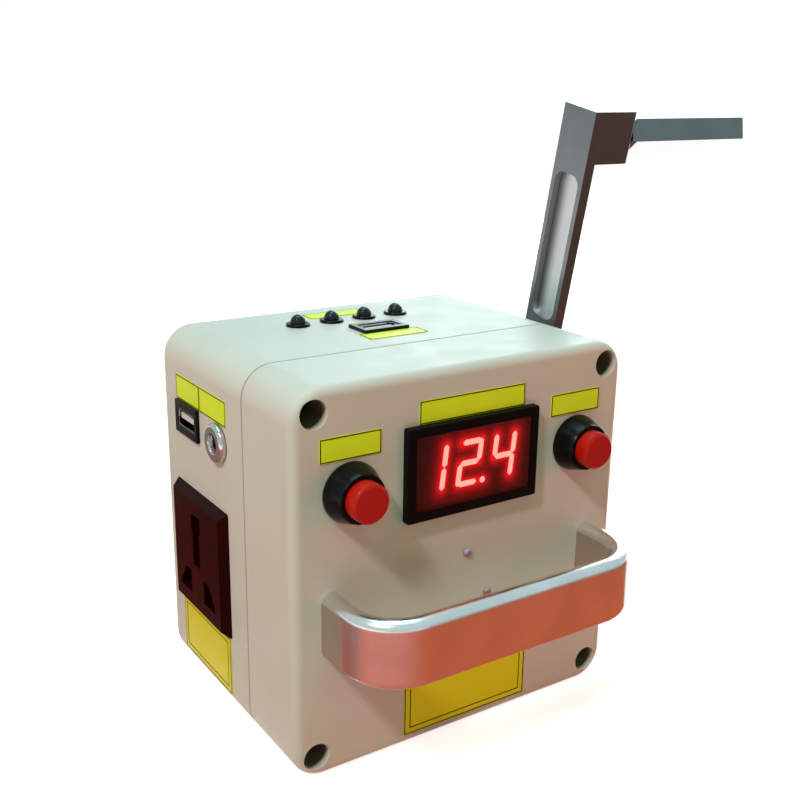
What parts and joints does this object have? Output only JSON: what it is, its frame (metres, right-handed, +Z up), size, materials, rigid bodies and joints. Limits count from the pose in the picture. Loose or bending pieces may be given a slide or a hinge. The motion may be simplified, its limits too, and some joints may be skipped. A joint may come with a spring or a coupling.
{
  "type": "hand crank generator",
  "caption": "Box-shaped hand crank generator with a voltmeter, push buttons, sockets, LEDs, a carry handle and a side crank with a spinning hexagonal grip.",
  "frame": {"origin": "centre of the box's underside", "axes": "+X to the right seen from the front and out along the crank shaft, +Y to the back, +Z up"},
  "size_m": [0.2048, 0.1185, 0.1919],
  "materials": {
    "case_plastic": "fine moulded texture, light grey",
    "black_plastic": "satin black",
    "meter_plastic": "semi-gloss black",
    "socket_plastic": "semi-gloss black",
    "red_plastic": "satin red",
    "meter_lens": "dark red tint",
    "display_block": "red segments on a dark block",
    "label_vinyl": "fluorescent yellow-green vinyl",
    "anodised_aluminium": "satin anodised",
    "crank_metal": "satin",
    "dark_metal": "blackened",
    "plate_aluminium": "mill finish",
    "steel": "zinc plated",
    "bright_chrome": "polished",
    "brass": "plain",
    "gear_nylon": "natural nylon",
    "seal_rubber": "matt",
    "led_epoxy": "dark smoked resin",
    "white_plastic": "plain",
    "circuit_board": "green lacquer",
    "ferrite": "sintered",
    "motor_steel": "zinc plated",
    "cell_wrap": "shrink wrap over a cell"
  },
  "bodies": {
    "case": {"ac_socket_contacts": "brass", "ac_socket_face": "socket_plastic", "battery_cells": "cell_wrap", "battery_tray": "black_plastic", "board_screws": "steel", "button_nuts": "black_plastic", "button_terminals": "brass", "carry_handle": "anodised_aluminium", "cover_screws": "steel", "dc_jack_barrel": "bright_chrome", "dc_jack_nut": "bright_chrome", "dc_jack_pin": "black_plastic", "front_cover": "case_plastic", "front_labels": "label_vinyl", "gearbox_posts": "steel", "gearbox_screws": "steel", "gearbox_sleeves": "steel", "generator_can": "motor_steel", "generator_cap": "motor_steel", "generator_magnets": "ferrite", "generator_screws": "steel", "handle_screws": "steel", "idler_pin": "steel", "inner_plate": "plate_aluminium", "inverter_board": "circuit_board", "inverter_transformer": "ferrite", "led_holders": "black_plastic", "leds": "led_epoxy", "light_button_bezel": "black_plastic", "light_button_spring": "steel", "meter_bezel": "meter_plastic", "meter_display": "display_block", "meter_window": "meter_lens", "module_board": "circuit_board", "module_screws": "steel", "outer_plate": "plate_aluminium", "plate_bushes": "brass", "power_button_bezel": "black_plastic", "power_button_spring": "steel", "rear_housing": "case_plastic", "seam_gasket": "seal_rubber", "side_labels": "label_vinyl", "top_labels": "label_vinyl", "usb_frames": "black_plastic", "usb_shells": "bright_chrome", "usb_tongues": "white_plastic", "wall_bush": "brass"},
    "crank": {"crank_shaft": "steel", "drive_gear": "gear_nylon", "crank_arm": "crank_metal", "arm_screw": "steel", "grip_block": "crank_metal", "grip_collar": "dark_metal", "grip_spindle": "steel"},
    "grip": {"hand_grip": "crank_metal"},
    "idler": {"idler_gear": "gear_nylon"},
    "rotor": {"generator_rotor": "steel", "pinion": "gear_nylon"},
    "light_button": {"light_button_cap": "red_plastic"},
    "power_button": {"power_button_cap": "red_plastic"}
  },
  "joints": [
    {"name": "crank_spin", "type": "hinge", "parent": "case", "child": "crank", "pos_m": [0.066, 0.0065, 0.098], "axis": [1, 0, 0], "continuous": true},
    {"name": "grip_spin", "type": "hinge", "parent": "crank", "child": "grip", "pos_m": [0.11, -0.00999, 0.1819], "axis": [1, 0, 0], "continuous": true},
    {"name": "idler_spin", "type": "hinge", "parent": "case", "child": "idler", "pos_m": [0.034, 0.0065, 0.0756], "axis": [1, 0, 0], "continuous": true},
    {"name": "rotor_spin", "type": "hinge", "parent": "case", "child": "rotor", "pos_m": [0.001, 0.0065, 0.0532], "axis": [1, 0, 0], "continuous": true},
    {"name": "light_button_press", "type": "slide", "parent": "case", "child": "light_button", "axis": [0, 1, 0], "range_m": [0, 0.0025], "stiffness_N_per_m": 800, "springref_m": -0.0015, "deforming": ["light_button_spring"]},
    {"name": "power_button_press", "type": "slide", "parent": "case", "child": "power_button", "axis": [0, 1, 0], "range_m": [0, 0.0025], "stiffness_N_per_m": 800, "springref_m": -0.0015, "deforming": ["power_button_spring"]}
  ],
  "couplings": [
    {"joint": "idler_spin", "follows": "crank_spin", "ratio": -2.5},
    {"joint": "rotor_spin", "follows": "crank_spin", "ratio": 6.25}
  ]
}
